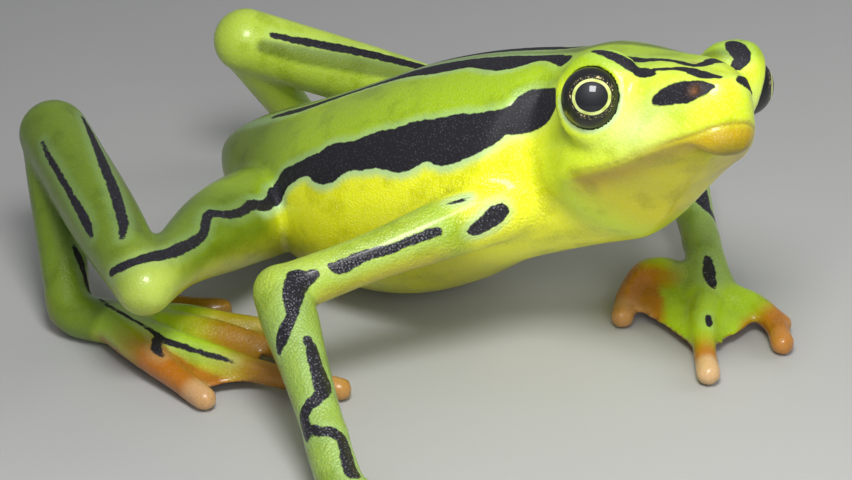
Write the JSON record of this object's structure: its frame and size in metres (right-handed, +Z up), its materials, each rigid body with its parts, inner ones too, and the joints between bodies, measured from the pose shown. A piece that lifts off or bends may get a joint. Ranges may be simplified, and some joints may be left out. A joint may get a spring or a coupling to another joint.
{
  "type": "life-size elegant stubfoot toad model",
  "caption": "Still, life-size model of a slender yellow-green stubfoot toad with black side bands, resting with its front raised and its head turned.",
  "frame": {"origin": "centre of the bottom of the whole model's box, on the ground plane that the hands and feet rest on", "axes": "+X forward along the trunk, +Y to the animal's left, +Z up"},
  "size_m": [0.038, 0.0412, 0.0163],
  "materials": {
    "skin": "moist, finely granular skin, yellow-green with charcoal-black bands",
    "paws": "moist skin, orange toes with pale tips",
    "eye": "wet, polished, black iris with gold flecks and a pale ring"
  },
  "bodies": {
    "root": {"head": "skin", "torso": "skin", "eye_right": "eye", "eye_left": "eye", "upper_arm_right": "skin", "forearm_right": "skin", "hand_right": "paws", "upper_arm_left": "skin", "forearm_left": "skin", "hand_left": "paws", "thigh_right": "skin", "shank_right": "skin", "tarsus_right": "skin", "foot_right": "paws", "thigh_left": "skin", "shank_left": "skin", "tarsus_left": "skin", "foot_left": "paws"}
  },
  "joints": []
}
